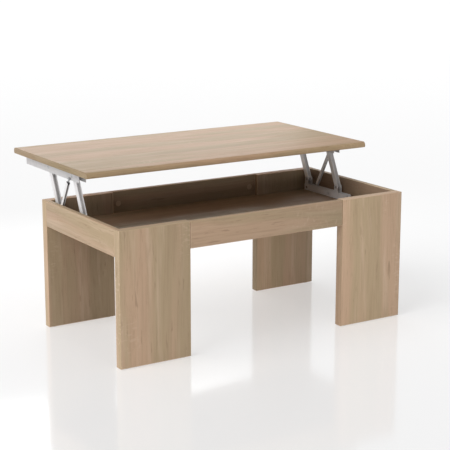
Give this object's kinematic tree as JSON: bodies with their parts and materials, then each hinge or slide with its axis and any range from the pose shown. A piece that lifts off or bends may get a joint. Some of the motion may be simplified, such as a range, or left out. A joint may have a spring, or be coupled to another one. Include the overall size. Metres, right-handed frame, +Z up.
{
  "type": "lift top coffee table",
  "caption": "Low rectangular coffee table with slab legs and a storage box whose whole top lifts up and back on a parallel arm unit at each end.",
  "frame": {"origin": "on the floor, under the middle of the base", "axes": "+X along the table's length, +Y to the side the top moves towards as it rises, +Z up"},
  "size_m": [1, 0.7, 0.535],
  "materials": {
    "oak_board": "matt oak foil with open grain",
    "oak_band": "matt oak edge band",
    "dowel_wood": "plain beech",
    "white_steel": "satin light grey powder coat",
    "zinc_steel": "bright zinc",
    "nylon": "natural nylon",
    "black_plastic": "matt black",
    "cap_plastic": "matt, in the oak's colour",
    "bumper_rubber": "soft matt"
  },
  "bodies": {
    "base": {"leg_front_left": "oak_board", "leg_front_right": "oak_board", "leg_rear_left": "oak_board", "leg_rear_right": "oak_board", "front_apron": "oak_board", "rear_apron": "oak_board", "end_panel_left": "oak_board", "end_panel_right": "oak_board", "bottom_panel": "oak_board", "apron_dowels": "dowel_wood", "end_dowels": "dowel_wood", "bottom_dowels": "dowel_wood", "cam_locks": "zinc_steel", "cam_bolts": "zinc_steel", "cam_caps": "cap_plastic", "floor_glides": "nylon", "lower_rail_left": "white_steel", "lower_rail_right": "white_steel", "rail_spacers": "zinc_steel", "rail_screws": "zinc_steel", "base_pivot_pins": "zinc_steel", "base_washers": "nylon", "strut_base_studs": "zinc_steel"},
    "front_arm_left": {"front_arm_left": "white_steel"},
    "front_arm_right": {"front_arm_right": "white_steel"},
    "rear_arm_left": {"rear_arm_left": "white_steel"},
    "rear_arm_right": {"rear_arm_right": "white_steel"},
    "top": {"top_panel": "oak_board", "top_end_bands": "oak_band", "top_bumpers": "bumper_rubber", "upper_rail_left": "white_steel", "upper_rail_right": "white_steel", "top_screws": "zinc_steel", "upper_pivot_pins": "zinc_steel", "upper_spacers": "nylon", "strut_upper_studs": "zinc_steel"},
    "strut_channel_left": {"strut_channel_left": "white_steel", "strut_guide_left": "black_plastic"},
    "strut_channel_right": {"strut_channel_right": "white_steel", "strut_guide_right": "black_plastic"},
    "strut_bar_left": {"strut_bar_left": "zinc_steel"},
    "strut_bar_right": {"strut_bar_right": "zinc_steel"}
  },
  "joints": [
    {"name": "lift", "type": "hinge", "parent": "base", "child": "front_arm_left", "pos_m": [-0.463, 0.03208, 0.375], "axis": [1, 0, 0], "range_deg": [0, 109.11]},
    {"name": "front_arm_right_swing", "type": "hinge", "parent": "base", "child": "front_arm_right", "pos_m": [0.463, 0.03208, 0.375], "axis": [1, 0, 0], "range_deg": [0, 109.11]},
    {"name": "rear_arm_left_swing", "type": "hinge", "parent": "base", "child": "rear_arm_left", "pos_m": [-0.463, 0.19708, 0.375], "axis": [1, 0, 0], "range_deg": [0, 109.11]},
    {"name": "rear_arm_right_swing", "type": "hinge", "parent": "base", "child": "rear_arm_right", "pos_m": [0.463, 0.19708, 0.375], "axis": [1, 0, 0], "range_deg": [0, 109.11]},
    {"name": "top_level", "type": "hinge", "parent": "front_arm_left", "child": "top", "pos_m": [-0.463, 0.09, 0.5], "axis": [1, 0, 0], "range_deg": [-109.11, 0]},
    {"name": "strut_channel_left_swing", "type": "hinge", "parent": "base", "child": "strut_channel_left", "pos_m": [-0.4796, 0.17673, 0.348], "axis": [1, 0, 0], "range_deg": [0, 54.56]},
    {"name": "strut_channel_right_swing", "type": "hinge", "parent": "base", "child": "strut_channel_right", "pos_m": [0.4796, 0.17673, 0.348], "axis": [1, 0, 0], "range_deg": [0, 54.56]},
    {"name": "strut_bar_left_swing", "type": "hinge", "parent": "top", "child": "strut_bar_left", "pos_m": [-0.4796, 0.098, 0.4905], "axis": [1, 0, 0], "range_deg": [0, 54.56]},
    {"name": "strut_bar_right_swing", "type": "hinge", "parent": "top", "child": "strut_bar_right", "pos_m": [0.4796, 0.098, 0.4905], "axis": [1, 0, 0], "range_deg": [0, 54.56]}
  ],
  "couplings": [
    {"joint": "front_arm_right_swing", "follows": "lift", "ratio": 1},
    {"joint": "rear_arm_left_swing", "follows": "lift", "ratio": 1},
    {"joint": "rear_arm_right_swing", "follows": "lift", "ratio": 1},
    {"joint": "top_level", "follows": "lift", "ratio": -1},
    {"joint": "strut_channel_left_swing", "follows": "lift", "ratio": 0.5},
    {"joint": "strut_channel_right_swing", "follows": "lift", "ratio": 0.5},
    {"joint": "strut_bar_left_swing", "follows": "lift", "ratio": 0.5},
    {"joint": "strut_bar_right_swing", "follows": "lift", "ratio": 0.5}
  ]
}
